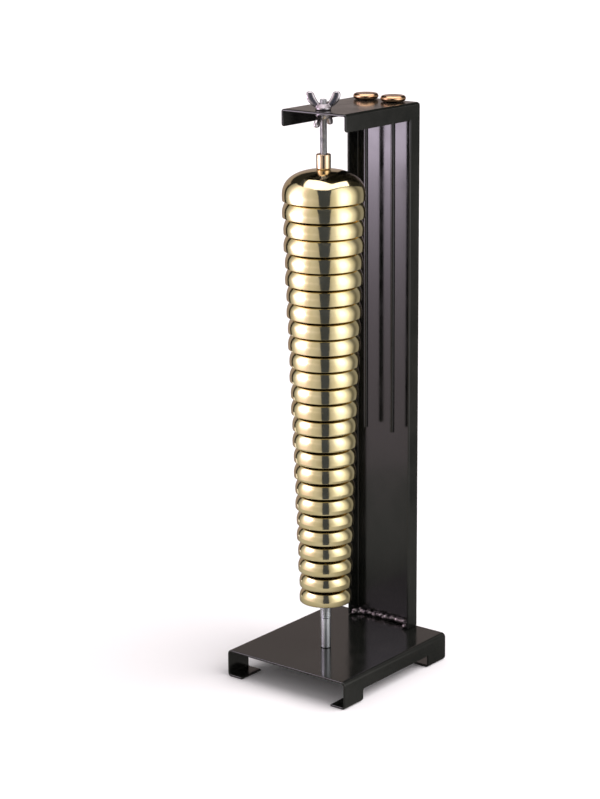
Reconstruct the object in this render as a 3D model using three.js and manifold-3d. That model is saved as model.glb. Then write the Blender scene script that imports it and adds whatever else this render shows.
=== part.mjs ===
// Bell tree: a column of nested brass cup bells on a threaded spindle, held between a
// folded steel base and the arm of a channel-section upright, with two strikers stored
// in the arm. Millimetres, +Z up, front towards -Y, origin under the centre of the base.

import * as THREE from 'three';
import { mergeVertices } from 'three/addons/utils/BufferGeometryUtils.js';
import Module from 'manifold-3d';

const wasm = await Module();
wasm.setup();

// Sizes

// Common
const sheet = 2;               // steel sheet of the base and the upright
const seatGap = 0.3;           // film left between pieces that rest on each other
const cutOverrun = 5;          // how far a cutting body runs past the face that it cuts

// Base: a sheet folded down at its left and right edges, with a turned-in lip at each foot
const baseWidth = 130;
const baseDepth = 150;
const baseHeight = 25;
const baseFoldRadius = 4;      // outside radius of the long folds
const footLength = 27;         // length of each corner foot along the depth
const footLipWidth = 16;       // from the outside face to the lip's free edge
const footFoldRadius = 3.2;    // outside radius of the fold under each foot
const archHeight = 11;         // clear height between the front and the rear feet

// Upright: a channel section, web to the rear, bent forward at the top into the arm
const channelWidth = 68;
const channelDepth = 15;       // over the web and the free flanges
const channelFoldRadius = 2.6; // outside radius where the flanges leave the web
const topBendRadius = 4.5;     // outside radius of the bend between column and arm
const armReach = 106;          // from the rear face to the arm's front edge
const armCornerRadius = 3;     // lower front corner of each arm flange

// Spindle with the parts that are threaded on it
const spindleRadius = 3;
const boreClearance = 0.3;     // radial clearance of the pieces that the spindle passes
const spindleInset = 14;       // spindle axis behind the arm's front edge
const armHoleClearance = 0.5;  // radial clearance of the spindle's hole in the arm
const spindleTopReach = 9;     // above the arm
const spindleFootReach = 12.7; // down into the post

// Post, base screw and foot nut
const postRadius = 4.5;
const postLength = 27.4;
const postChamfer = 0.5;
const footNutRadius = 4.8;
const footNutLength = 10.6;
const footNutChamfer = 0.7;
const screwReach = 11;         // shank above the base sheet
const screwHeadRadius = 5.4;
const screwHeadHeight = 3.2;
const screwDomeHeight = 1.2;
const screwSocketRadius = 2;
const screwSocketDepth = 1.8;
const screwFlatShare = 0.7;     // flat of the domed head, as a share of its radius

// Bells: equal pairs that shrink towards the foot, each nested in the one above
const bellCount = 26;
const bellsPerSize = 2;
const topBellRadius = 35.3;
const footBellRadius = 23;
const topBellHeight = 26;
const footBellHeight = 17.8;
const bellPitch = 14.2;        // from one rim to the next
const bellSkirt = 3.5;         // from the rim to the widest ring
const bellWall = 1.4;
const crownWall = 1.8;
const rimTuck = 0.15;          // how far the outer rim edge turns in
const crownFlatMargin = 0.5;   // flat of the crown around the spacers
const bellShoulderPower = 2.45; // exponent of the cup's outline, 2 being an ellipse
const shoulderAngles = [64, 42, 20, 0]; // degrees above the widest ring, outside
const hollowAngles = [0, 46];  // the same, inside
const footRimRise = 5.9;       // lowest rim above the foot nut

// Spacer sleeve between spindle and bells
const sleeveWall = 1.1;
const spacerRadius = 6.4;
const footSpacerHeight = 5;    // collar under the lowest crown

// Collar nut that clamps the stack
const collarRadius = 6.2;
const collarLength = 12.7;
const collarChamfer = 0.9;
const freeSpindle = 34.5;      // bare spindle between the collar nut and the arm

// Wing nuts
const nutBaseRadius = 6.6;
const nutNeckRadius = 5.4;
const nutBaseHeight = 1.6;
const nutHeight = 5.4;
const wingSpan = 29.8;
const upperWingHeight = 15.6;
const lowerWingHeight = 11.4;
const wingThickness = 3.6;
const upperWingTurn = 38;      // degrees from the arm's width to the upper nut's wings
const lowerWingTurn = 98;      // the same for the lower nut
// Wing outline as [share of the half span, share of the height]
const wingShares = [
  [0.31, 0.08], [0.53, 0.18], [0.84, 0.36], [1.00, 0.65], [0.985, 0.85], [0.89, 0.965],
  [0.745, 1.00], [0.59, 0.98], [0.505, 0.885], [0.405, 0.57], [0.31, 0.32],
];

// Strikers
const strikerSpacing = 29;
const strikerStandoff = 11.5;  // rod axis in front of the web
const strikerRodRadius = 2;
const strikerRodLength = 296;
const strikerHoleClearance = 0.75;
const strikerHeadRadius = 10.9;
const strikerHeadHeight = 5;
const strikerDishRadius = 5.8;
const strikerDishDepth = 0.7;
const strikerBoreDepth = 3;
const strikerBoreClearance = 0.3;
const headEdgeAngles = [-60, -30, 0, 30, 60]; // degrees round the head's rounded edge

// Weld bead at the column's foot
const beadRadius = 1.9;
const beadRipple = 0.35;
const beadRippleLength = 5;

// Derived places

const rearY = baseDepth / 2;
const webFaceY = rearY - sheet;
const armFrontY = rearY - armReach;
const spindleY = armFrontY + spindleInset;

const postBottomZ = baseHeight + seatGap;
const postTopZ = postBottomZ + postLength;
const footNutBottomZ = postTopZ + seatGap;
const footNutTopZ = footNutBottomZ + footNutLength;
const footRimZ = footNutTopZ + footRimRise;

const lastSize = bellCount / bellsPerSize - 1;
const sizeShare = (index) => Math.floor(index / bellsPerSize) / lastSize;
const bellRadius = (index) => THREE.MathUtils.lerp(topBellRadius, footBellRadius, sizeShare(index));
const bellHeight = (index) => THREE.MathUtils.lerp(topBellHeight, footBellHeight, sizeShare(index));
const rimZ = (index) => footRimZ + (bellCount - 1 - index) * bellPitch;
const crownZ = (index) => rimZ(index) + bellHeight(index);

const collarBottomZ = crownZ(0) + seatGap;
const collarTopZ = collarBottomZ + collarLength;
const armUnderZ = collarTopZ + freeSpindle;
const armTopZ = armUnderZ + sheet;

const strikerY = webFaceY - strikerStandoff;
const strikerHeadZ = armTopZ + seatGap;
const boreRadius = spindleRadius + boreClearance;
const sleeveRadius = boreRadius + sleeveWall;
const crownHoleRadius = sleeveRadius + seatGap;

// Finishes

const blackEnamel = { color: 0x1b1c1c, roughness: 0.12, metalness: 0.0 };
const polishedBrass = { color: 0xd8c08a, roughness: 0.12, metalness: 1.0 };
const turnedBrass = { color: 0xcfa27c, roughness: 0.2, metalness: 1.0 };
const brightZinc = { color: 0xb9bbbd, roughness: 0.28, metalness: 1.0 };
const brightNickel = { color: 0xc4c0c4, roughness: 0.14, metalness: 1.0 };
const blackOxide = { color: 0x232222, roughness: 0.3, metalness: 0.6 };
const greyNylon = { color: 0x55534f, roughness: 0.6, metalness: 0.0 };

// Helpers

/** Turn a closed geometry into a solid that can be joined and cut. */
function toSolid(geometry) {
  const bare = geometry.index ? geometry.toNonIndexed() : geometry.clone();
  bare.deleteAttribute('normal');
  bare.deleteAttribute('uv');
  const merged = mergeVertices(bare, 1e-4);
  const mesh = new wasm.Mesh({
    numProp: 3,
    vertProperties: new Float32Array(merged.attributes.position.array),
    triVerts: new Uint32Array(merged.index.array),
  });
  return new wasm.Manifold(mesh);
}

/** Turn a solid back into a geometry with face normals. */
function toGeometry(solid) {
  const mesh = solid.getMesh();
  const geometry = new THREE.BufferGeometry();
  const corners = new Float32Array(mesh.vertProperties);
  geometry.setAttribute('position', new THREE.BufferAttribute(corners, mesh.numProp));
  geometry.setIndex(new THREE.BufferAttribute(new Uint32Array(mesh.triVerts), 1));
  const flat = geometry.toNonIndexed();
  flat.computeVertexNormals();
  return flat;
}

/** A body turned about +Z from [radius, z] pairs that close on themselves or on the axis. */
function turned(profile, segments) {
  const points = profile.map(([radius, z]) => new THREE.Vector2(radius, z));
  if (profile[0][0] > 0) {
    points.push(points[0].clone());
  }
  return new THREE.LatheGeometry(points, segments).rotateX(Math.PI / 2);
}

/** An outline in the XZ plane swept along Y from yFrom to yTo. */
function alongY(shape, yFrom, yTo, curveSegments = 5) {
  const body = new THREE.ExtrudeGeometry(shape, { depth: yTo - yFrom, bevelEnabled: false, curveSegments });
  return body.rotateX(Math.PI / 2).translate(0, yTo, 0);
}

/** An outline in the YZ plane swept along X, centred on x = 0. */
function alongX(shape, width, curveSegments = 5) {
  const body = new THREE.ExtrudeGeometry(shape, { depth: width, bevelEnabled: false, curveSegments });
  return body.rotateX(Math.PI / 2).rotateZ(Math.PI / 2).translate(-width / 2, 0, 0);
}

/** An upright block between two corners. */
function block(low, high) {
  const size = new THREE.Vector3().subVectors(high, low);
  const middle = new THREE.Vector3().addVectors(low, high).multiplyScalar(1 / 2);
  return new THREE.BoxGeometry(size.x, size.y, size.z).translate(middle.x, middle.y, middle.z);
}

/** A vertical cylinder used as a drill, between two heights. */
function drill(radius, x, y, zFrom, zTo, segments = 20) {
  const body = new THREE.CylinderGeometry(radius, radius, zTo - zFrom, segments);
  return body.rotateX(Math.PI / 2).translate(x, y, (zFrom + zTo) / 2);
}

/** Straight runs joined by corner arcs: corners are [x, y, radius] in order. */
function roundedOutline(corners) {
  const shape = new THREE.Shape();
  const count = corners.length;
  corners.forEach(([x, y, radius], i) => {
    const here = new THREE.Vector2(x, y);
    if (radius === 0) {
      if (i === 0) shape.moveTo(x, y);
      else shape.lineTo(x, y);
      return;
    }
    const [px, py] = corners[(i + count - 1) % count];
    const [nx, ny] = corners[(i + 1) % count];
    const toPrevious = new THREE.Vector2(px, py).sub(here).normalize();
    const toNext = new THREE.Vector2(nx, ny).sub(here).normalize();
    const start = here.clone().addScaledVector(toPrevious, radius);
    const centre = start.clone().addScaledVector(toNext, radius);
    const end = here.clone().addScaledVector(toNext, radius);
    const startAngle = Math.atan2(start.y - centre.y, start.x - centre.x);
    const endAngle = Math.atan2(end.y - centre.y, end.x - centre.x);
    const clockwise = toPrevious.x * toNext.y - toPrevious.y * toNext.x > 0;
    if (i === 0) shape.moveTo(start.x, start.y);
    else shape.lineTo(start.x, start.y);
    shape.absarc(centre.x, centre.y, radius, startAngle, endAngle, clockwise);
  });
  shape.closePath();
  return shape;
}

const model = new THREE.Group();
model.name = 'bell_tree';

function add(name, geometry, finish, position = [0, 0, 0]) {
  const mesh = new THREE.Mesh(geometry, new THREE.MeshStandardMaterial(finish));
  mesh.name = name;
  mesh.position.set(...position);
  model.add(mesh);
  return mesh;
}

// Base

{
  const half = baseWidth / 2;
  const lipEdge = half - footLipWidth;
  const inner = half - sheet;
  const foldInside = baseFoldRadius - sheet;
  const footInside = footFoldRadius - sheet;
  const section = roundedOutline([
    [-half, baseHeight, baseFoldRadius],
    [-half, 0, footFoldRadius],
    [-lipEdge, 0, 0],
    [-lipEdge, sheet, 0],
    [-inner, sheet, footInside],
    [-inner, baseHeight - sheet, foldInside],
    [inner, baseHeight - sheet, foldInside],
    [inner, sheet, footInside],
    [lipEdge, sheet, 0],
    [lipEdge, 0, 0],
    [half, 0, footFoldRadius],
    [half, baseHeight, baseFoldRadius],
  ]);
  const archHalf = baseDepth / 2 - footLength;
  const archCut = block(
    new THREE.Vector3(-half - cutOverrun, -archHalf, -cutOverrun),
    new THREE.Vector3(half + cutOverrun, archHalf, archHeight),
  );
  const screwHoleZ = baseHeight - sheet - cutOverrun;
  const screwHole = drill(boreRadius, 0, spindleY, screwHoleZ, baseHeight + cutOverrun);
  const tray = toSolid(alongY(section, -baseDepth / 2, baseDepth / 2))
    .subtract(toSolid(archCut))
    .subtract(toSolid(screwHole));
  add('base_tray', toGeometry(tray), blackEnamel);
}

// Upright

{
  const half = channelWidth / 2;
  const footZ = baseHeight + seatGap;
  const flangeFrontY = rearY - channelDepth;
  const flangeUnderZ = armTopZ - channelDepth;

  const sideView = roundedOutline([
    [rearY, footZ, 0],
    [rearY, armTopZ, topBendRadius],
    [armFrontY, armTopZ, 0],
    [armFrontY, flangeUnderZ, armCornerRadius],
    [flangeFrontY, flangeUnderZ, 0],
    [flangeFrontY, footZ, 0],
  ]);
  const hollow = roundedOutline([
    [webFaceY, footZ - cutOverrun, 0],
    [webFaceY, armUnderZ, topBendRadius - sheet],
    [armFrontY - cutOverrun, armUnderZ, 0],
    [armFrontY - cutOverrun, footZ - cutOverrun, 0],
  ]);
  const planEnvelope = roundedOutline([
    [-half, armFrontY - cutOverrun, 0],
    [half, armFrontY - cutOverrun, 0],
    [half, rearY, channelFoldRadius],
    [-half, rearY, channelFoldRadius],
  ]);
  const frontEnvelope = roundedOutline([
    [-half, footZ - cutOverrun, 0],
    [half, footZ - cutOverrun, 0],
    [half, armTopZ, channelFoldRadius],
    [-half, armTopZ, channelFoldRadius],
  ]);
  const planBody = new THREE.ExtrudeGeometry(planEnvelope, {
    depth: armTopZ - footZ + 2 * cutOverrun,
    bevelEnabled: false,
    curveSegments: 4,
  }).translate(0, 0, footZ - cutOverrun);

  const drillFromZ = armUnderZ - cutOverrun;
  const drillToZ = armTopZ + cutOverrun;
  const spindleHoleRadius = spindleRadius + armHoleClearance;
  const strikerHoleRadius = strikerRodRadius + strikerHoleClearance;

  let channel = toSolid(alongX(sideView, channelWidth, 4))
    .intersect(toSolid(planBody))
    .intersect(toSolid(alongY(frontEnvelope, armFrontY - cutOverrun, rearY + cutOverrun, 4)))
    .subtract(toSolid(alongX(hollow, channelWidth - 2 * sheet, 4)))
    .subtract(toSolid(drill(spindleHoleRadius, 0, spindleY, drillFromZ, drillToZ, 20)));
  for (const side of [-1, 1]) {
    const x = side * strikerSpacing / 2;
    channel = channel.subtract(toSolid(drill(strikerHoleRadius, x, strikerY, drillFromZ, drillToZ, 16)));
  }
  add('upright_channel', toGeometry(channel), blackEnamel);
}

// Weld bead

{
  // A rippled fillet inside the channel's foot: along the web and forward along each flange.
  const standoff = seatGap + beadRadius + beadRipple;
  const beadZ = baseHeight + standoff;
  const beadY = webFaceY - standoff;
  const beadX = channelWidth / 2 - sheet - standoff;
  const ripples = (length) => {
    const steps = Math.max(1, Math.round(length / beadRippleLength));
    const start = -length / 2;
    const profile = [[0, start]];
    for (let i = 0; i < steps; i += 1) {
      const share = i / steps;
      profile.push([beadRadius - beadRipple, start + length * share]);
      profile.push([beadRadius + beadRipple, start + length * (i + 1 / 2) / steps]);
    }
    profile.push([beadRadius - beadRipple, -start], [0, -start]);
    return turned(profile, 8);
  };
  const sideLength = channelDepth - sheet - standoff;
  let bead = toSolid(ripples(2 * beadX).rotateY(Math.PI / 2).translate(0, beadY, beadZ));
  for (const side of [-1, 1]) {
    const run = ripples(sideLength).rotateX(Math.PI / 2);
    bead = bead.add(toSolid(run.translate(side * beadX, beadY - sideLength / 2, beadZ)));
  }
  add('weld_bead', toGeometry(bead), blackEnamel);
}

// Post, foot nut, base screw

const screwTopZ = baseHeight + screwReach;
const spindleBottomZ = postTopZ - spindleFootReach;

add('base_post', turned([
  [boreRadius, postBottomZ],
  [postRadius - postChamfer, postBottomZ],
  [postRadius, postBottomZ + postChamfer],
  [postRadius, postTopZ - postChamfer],
  [postRadius - postChamfer, postTopZ],
  [boreRadius, postTopZ],
], 20), brightZinc, [0, spindleY, 0]);

add('foot_nut', turned([
  [boreRadius, footNutBottomZ],
  [footNutRadius - footNutChamfer, footNutBottomZ],
  [footNutRadius, footNutBottomZ + footNutChamfer],
  [footNutRadius, footNutTopZ - footNutChamfer],
  [footNutRadius - footNutChamfer, footNutTopZ],
  [boreRadius, footNutTopZ],
], 20), brightZinc, [0, spindleY, 0]);

{
  const headTopZ = baseHeight - sheet - seatGap;
  const headRimZ = headTopZ - (screwHeadHeight - screwDomeHeight);
  const headBottomZ = headTopZ - screwHeadHeight;
  add('base_screw', turned([
    [0, headBottomZ + screwSocketDepth],
    [screwSocketRadius, headBottomZ + screwSocketDepth],
    [screwSocketRadius, headBottomZ],
    [screwHeadRadius * screwFlatShare, headBottomZ],
    [screwHeadRadius, headRimZ],
    [screwHeadRadius, headTopZ],
    [spindleRadius, headTopZ],
    [spindleRadius, screwTopZ],
    [0, screwTopZ],
  ], 16), blackOxide, [0, spindleY, 0]);
}

// Spindle and spacers

add('spindle_rod', turned([
  [0, spindleBottomZ],
  [spindleRadius, spindleBottomZ],
  [spindleRadius, armTopZ + spindleTopReach],
  [0, armTopZ + spindleTopReach],
], 16), brightZinc, [0, spindleY, 0]);

{
  // One sleeve with a collar under every crown keeps the bells apart and off the spindle.
  const outline = [[boreRadius, footNutTopZ + seatGap], [sleeveRadius, footNutTopZ + seatGap]];
  for (let index = bellCount - 1; index >= 0; index -= 1) {
    const collarTop = crownZ(index) - crownWall - seatGap;
    const below = index + 1 < bellCount ? crownZ(index + 1) + seatGap : collarTop - footSpacerHeight;
    outline.push([sleeveRadius, below], [spacerRadius, below]);
    outline.push([spacerRadius, collarTop], [sleeveRadius, collarTop]);
  }
  outline.push([sleeveRadius, crownZ(0)], [boreRadius, crownZ(0)]);
  add('spacer_sleeve', turned(outline, 8), greyNylon, [0, spindleY, 0]);
}

// Bells

/** A cup bell, mouth down, rim at z = 0, with the crown bored for the sleeve. */
function bellGeometry(radius, height) {
  const cup = (widest, reach, angle) => {
    const power = 2 / bellShoulderPower;
    const along = THREE.MathUtils.degToRad(angle);
    return [widest * Math.cos(along) ** power, bellSkirt + reach * Math.sin(along) ** power];
  };
  const outside = shoulderAngles.map((angle) => cup(radius, height - bellSkirt, angle));
  const inside = hollowAngles.map((angle) => cup(radius - bellWall, height - crownWall - bellSkirt, angle));
  const crownFlat = spacerRadius + crownFlatMargin;
  return turned([
    [crownHoleRadius, height],
    [crownFlat, height],
    ...outside,
    [radius - rimTuck, 0],
    [radius - bellWall, 0],
    ...inside,
    [crownFlat, height - crownWall],
    [crownHoleRadius, height - crownWall],
  ].reverse(), 20);
}

for (let index = 0; index < bellCount; index += 1) {
  const name = `bell_${String(index + 1).padStart(2, '0')}`;
  add(name, bellGeometry(bellRadius(index), bellHeight(index)), polishedBrass, [0, spindleY, rimZ(index)]);
}

// Collar nut

add('collar_nut', turned([
  [boreRadius, collarBottomZ],
  [collarRadius - collarChamfer, collarBottomZ],
  [collarRadius, collarBottomZ + collarChamfer],
  [collarRadius, collarTopZ - collarChamfer],
  [collarRadius - collarChamfer, collarTopZ],
  [boreRadius, collarTopZ],
], 20), turnedBrass, [0, spindleY, 0]);

// Wing nuts

/** A wing nut standing on z = 0 with its wings along X. */
function wingNutGeometry(wingHeight) {
  const boss = turned([
    [boreRadius, 0],
    [nutBaseRadius, 0],
    [nutBaseRadius, nutBaseHeight],
    [nutNeckRadius, nutHeight],
    [boreRadius, nutHeight],
  ], 20);
  const tip = wingSpan / 2;
  let solid = toSolid(boss);
  for (const side of [-1, 1]) {
    const outline = wingShares.map(([out, up]) => new THREE.Vector2(side * out * tip, up * wingHeight));
    const shape = new THREE.Shape(outline);
    const wing = new THREE.ExtrudeGeometry(shape, { depth: wingThickness, bevelEnabled: false });
    solid = solid.add(toSolid(wing.rotateX(Math.PI / 2).translate(0, wingThickness / 2, 0)));
  }
  return toGeometry(solid.subtract(toSolid(drill(boreRadius, 0, 0, -cutOverrun, wingHeight + cutOverrun))));
}

const upperNutPlace = [0, spindleY, armTopZ + seatGap];
const upperNut = add('wing_nut_upper', wingNutGeometry(upperWingHeight), brightNickel, upperNutPlace);
upperNut.rotation.z = THREE.MathUtils.degToRad(upperWingTurn);

const lowerNutPlace = [0, spindleY, armUnderZ - seatGap];
const lowerNut = add('wing_nut_lower', wingNutGeometry(lowerWingHeight), brightNickel, lowerNutPlace);
lowerNut.rotation.set(Math.PI, 0, -THREE.MathUtils.degToRad(lowerWingTurn));

// Strikers

['left', 'right'].forEach((side, place) => {
  const x = (place - 1 / 2) * strikerSpacing;
  const boreTopZ = strikerHeadZ + strikerBoreDepth;
  const boreR = strikerRodRadius + strikerBoreClearance;
  const round = strikerHeadHeight / 2;
  const headTopZ = strikerHeadZ + strikerHeadHeight;
  const edge = headEdgeAngles.map((angle) => {
    const along = THREE.MathUtils.degToRad(angle);
    const radius = strikerHeadRadius - round * (1 - Math.cos(along));
    return [radius, strikerHeadZ + round * (1 + Math.sin(along))];
  });
  add(`striker_head_${side}`, turned([
    [0, boreTopZ],
    [boreR, boreTopZ],
    [boreR, strikerHeadZ],
    [strikerHeadRadius - round, strikerHeadZ],
    ...edge,
    [strikerHeadRadius - round, headTopZ],
    [strikerDishRadius, headTopZ],
    [strikerDishRadius / 2, headTopZ - strikerDishDepth],
    [0, headTopZ - strikerDishDepth],
  ], 20), polishedBrass, [x, strikerY, 0]);
  const rodTopZ = boreTopZ - strikerBoreClearance;
  const rod = new THREE.CylinderGeometry(strikerRodRadius, strikerRodRadius, strikerRodLength, 12);
  const rodMiddleZ = rodTopZ - strikerRodLength / 2;
  add(`striker_rod_${side}`, rod.rotateX(Math.PI / 2), blackOxide, [x, strikerY, rodMiddleZ]);
});

export default model;
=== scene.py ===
"""Looks of a bell tree: nested brass cup bells in a black enamelled steel stand.

Lengths are written in millimetres and turned to metres by MM. +Z is up, -Y is the front.
Directions round the object are azimuths in degrees, 0 towards -Y and 90 towards +X.
"""

import logging
import math
from dataclasses import dataclass
from enum import Enum
from typing import Any, Iterator, Optional, Sequence

import bmesh
import bpy
from mathutils import Matrix, Vector, noise


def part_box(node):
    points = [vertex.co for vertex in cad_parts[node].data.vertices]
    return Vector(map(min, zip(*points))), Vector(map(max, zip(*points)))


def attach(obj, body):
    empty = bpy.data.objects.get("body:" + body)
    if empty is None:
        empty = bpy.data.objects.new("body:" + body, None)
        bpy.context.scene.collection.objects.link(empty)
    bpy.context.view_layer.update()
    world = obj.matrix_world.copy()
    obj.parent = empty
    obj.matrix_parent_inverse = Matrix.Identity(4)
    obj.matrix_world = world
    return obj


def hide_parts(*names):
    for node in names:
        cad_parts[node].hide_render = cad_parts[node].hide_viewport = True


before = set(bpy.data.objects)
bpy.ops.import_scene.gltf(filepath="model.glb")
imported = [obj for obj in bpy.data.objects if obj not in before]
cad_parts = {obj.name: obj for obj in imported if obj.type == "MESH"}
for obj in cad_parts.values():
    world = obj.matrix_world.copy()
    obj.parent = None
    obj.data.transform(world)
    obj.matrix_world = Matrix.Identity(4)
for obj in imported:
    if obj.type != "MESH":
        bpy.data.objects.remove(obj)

LOG = logging.getLogger("bell_tree")
MM = 0.001
PIXELS_HIGH = 799
SENSOR = 36.0

# Radius of every hole that the 6 mm spindle passes through
SPINDLE_BORE = 3.3
# A point of a turned profile that is nearer to the axis than this is on it
ON_AXIS = 1e-6
# Straight pieces in each fold of the steel sheet
FOLD_STEPS = 8
# A noise pattern seldom leaves these ranges, so they are stretched to the full one
GLOSS_RANGE = (0.3, 0.7)
TINT_RANGE = (0.35, 0.65)

Outline = list[tuple[float, float]]
Stops = tuple[tuple[float, float], ...]
Colour = tuple[float, float, float, float]
Piece = bpy.types.Object


# Small helpers for colour and nodes


def linear(hex_colour: str) -> Colour:
    """Turn an sRGB hex colour into linear RGBA.

    Args:
        hex_colour: Six hex digits after a hash sign.

    Returns:
        The colour that a shader socket takes.
    """
    parts = [int(hex_colour[i : i + 2], 16) / 255 for i in (1, 3, 5)]
    curve = [c / 12.92 if c <= 0.04045 else ((c + 0.055) / 1.055) ** 2.4 for c in parts]
    return (curve[0], curve[1], curve[2], 1.0)


def scale_for(size_mm: float) -> float:
    """Texture scale at which a pattern's features are size_mm across."""
    return 1 / (size_mm * MM)


def add_node(
    tree: bpy.types.NodeTree,
    kind: str,
    settings: Optional[dict[str, Any]] = None,
    inputs: Optional[dict[Any, Any]] = None,
) -> bpy.types.Node:
    """Add a node with its settings and links.

    Args:
        tree: The node tree that gets the node.
        kind: Blender's name for the node's type.
        settings: Properties of the node, by name.
        inputs: Values, or output sockets to link from, by input name or number.

    Returns:
        The new node.
    """
    node = tree.nodes.new(kind)
    for key, value in (settings or {}).items():
        setattr(node, key, value)
    for key, value in (inputs or {}).items():
        if isinstance(value, bpy.types.NodeSocket):
            tree.links.new(value, node.inputs[key])
        else:
            node.inputs[key].default_value = value
    return node


def fresh_tree(owner: bpy.types.ID) -> bpy.types.NodeTree:
    """Switch on the nodes of a material or the world, and clear them.

    Args:
        owner: The material or the world.

    Returns:
        Its empty node tree.
    """
    owner.use_nodes = True
    owner.node_tree.nodes.clear()
    return owner.node_tree


def set_ramp(node: bpy.types.Node, stops: Sequence[tuple[float, float]]) -> None:
    """Give a colour ramp grey stops with a soft curve from one to the next.

    Args:
        node: A ColorRamp node.
        stops: Pairs of position and grey value, both from 0 to 1, in order.
    """
    node.color_ramp.interpolation = "B_SPLINE"
    elements = node.color_ramp.elements
    while len(elements) > 1:
        elements.remove(elements[-1])
    for place, (position, value) in enumerate(stops):
        element = elements[0] if place == 0 else elements.new(position)
        element.position = position
        element.color = (value, value, value, 1.0)


# Small helpers for meshes


class Join(Enum):
    """What a second body does to its target."""

    CUT = "DIFFERENCE"
    KEEP_COMMON = "INTERSECT"


class Axis(Enum):
    """The direction along which an outline is swept."""

    X = "x"
    Y = "y"
    Z = "z"


def link_object(name: str, data: bpy.types.ID) -> Piece:
    """Make an object of a mesh, a lamp or a camera, and put it into the scene.

    Args:
        name: The object's name.
        data: What it shows.

    Returns:
        The object.
    """
    thing = bpy.data.objects.new(name, data)
    bpy.context.scene.collection.objects.link(thing)
    return thing


def cad_box(node: str) -> tuple[Vector, Vector]:
    """Lowest and highest corner of a CAD node, in millimetres."""
    low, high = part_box(node)
    return low / MM, high / MM


def make_piece(name: str, points: Sequence[Sequence[float]], faces: Sequence[Sequence[int]]) -> Piece:
    """Make a mesh object.

    Args:
        name: The piece's name.
        points: Corners in millimetres.
        faces: Corner numbers of each face.

    Returns:
        The object, linked to the scene, with its normals facing out.
    """
    mesh = bpy.data.meshes.new(name)
    mesh.from_pydata([Vector(p) * MM for p in points], [], faces)
    work = bmesh.new()
    work.from_mesh(mesh)
    bmesh.ops.recalc_face_normals(work, faces=work.faces)
    work.to_mesh(mesh)
    work.free()
    return link_object(name, mesh)


def level_sheet(name: str, low: tuple[float, float], high: tuple[float, float], height: float) -> Piece:
    """Make a level rectangle.

    Args:
        name: The rectangle's name.
        low: Its lowest x and y, in millimetres.
        high: Its highest x and y, in millimetres.
        height: Where it lies, in millimetres.

    Returns:
        The object, linked to the scene.
    """
    (x0, y0), (x1, y1) = low, high
    corners = [(x0, y0, height), (x1, y0, height), (x1, y1, height), (x0, y1, height)]
    mesh = bpy.data.meshes.new(name)
    mesh.from_pydata([Vector(corner) * MM for corner in corners], [], [(0, 1, 2, 3)])
    return link_object(name, mesh)


def fillet_outline(corners: Sequence[Sequence[float]], steps: int = 6) -> Outline:
    """Round the corners of an outline.

    Args:
        corners: [x, y, radius] of each corner in order; radius 0 keeps it sharp.
        steps: Straight pieces in each arc.

    Returns:
        The outline's points.
    """
    points: Outline = []
    for i, (x, y, radius) in enumerate(corners):
        here = Vector((x, y))
        if radius <= 0:
            points.append((x, y))
            continue
        back = (Vector(corners[i - 1][:2]) - here).normalized()
        ahead = (Vector(corners[(i + 1) % len(corners)][:2]) - here).normalized()
        half = back.angle(ahead) / 2
        start = here + back * radius / math.tan(half)
        centre = here + (back + ahead).normalized() * radius / math.sin(half)
        sweep = math.pi - 2 * half
        if back.x * ahead.y - back.y * ahead.x > 0:
            sweep = -sweep
        spoke = start - centre
        for k in range(steps + 1):
            turn = Matrix.Rotation(sweep * k / steps, 2)
            point = centre + turn @ spoke
            points.append((point.x, point.y))
    return points


def prism(name: str, outline: Outline, axis: Axis, start: float, end: float) -> Piece:
    """Sweep an outline along an axis.

    Args:
        name: The piece's name.
        outline: Points in YZ for X, in XZ for Y and in XY for Z.
        axis: The direction of the sweep.
        start: Where the sweep starts on that axis.
        end: Where it ends.

    Returns:
        The closed body.
    """
    place = {
        Axis.X: lambda a, b, along: (along, a, b),
        Axis.Y: lambda a, b, along: (a, along, b),
        Axis.Z: lambda a, b, along: (a, b, along),
    }[axis]
    count = len(outline)
    points = [place(a, b, along) for along in (start, end) for a, b in outline]
    sides = [[i, (i + 1) % count, count + (i + 1) % count, count + i] for i in range(count)]
    return make_piece(name, points, [list(range(count)), list(range(count, 2 * count)), *sides])


def turned(name: str, profile: Outline, centre: Sequence[float], segments: int) -> Piece:
    """Turn a profile about a vertical axis.

    Args:
        name: The piece's name.
        profile: Pairs of radius and height. It starts and ends on the axis, or closes on itself.
        centre: x and y of the axis.
        segments: Faces round the axis.

    Returns:
        The closed body.
    """
    points: list[tuple[float, float, float]] = []
    rings: list[list[int]] = []
    for radius, z in profile:
        if radius < ON_AXIS:
            rings.append([len(points)] * segments)
            points.append((centre[0], centre[1], z))
            continue
        rings.append(list(range(len(points), len(points) + segments)))
        for k in range(segments):
            angle = math.tau * k / segments
            points.append((centre[0] + radius * math.cos(angle), centre[1] + radius * math.sin(angle), z))
    pairs = list(zip(rings, rings[1:]))
    if profile[0][0] > ON_AXIS:
        pairs.append((rings[-1], rings[0]))
    faces = []
    for one, other in pairs:
        for k in range(segments):
            after = (k + 1) % segments
            faces.append(list(dict.fromkeys((one[k], one[after], other[after], other[k]))))
    return make_piece(name, points, faces)


def bake_modifiers(piece: Piece) -> None:
    """Replace a piece's mesh by what its modifiers make of it.

    Args:
        piece: The piece, which keeps no modifier.
    """
    graph = bpy.context.evaluated_depsgraph_get()
    result = bpy.data.meshes.new_from_object(piece.evaluated_get(graph))
    piece.modifiers.clear()
    piece.data = result


def combine(target: Piece, tool: Piece, how: Join) -> None:
    """Work on a body with a second one.

    Args:
        target: The body that is changed.
        tool: The second body, which is then removed.
        how: What it does to the target.
    """
    step = target.modifiers.new("combine", "BOOLEAN")
    step.operation = how.value
    step.solver = "EXACT"
    step.object = tool
    bake_modifiers(target)
    bpy.data.objects.remove(tool)


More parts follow.
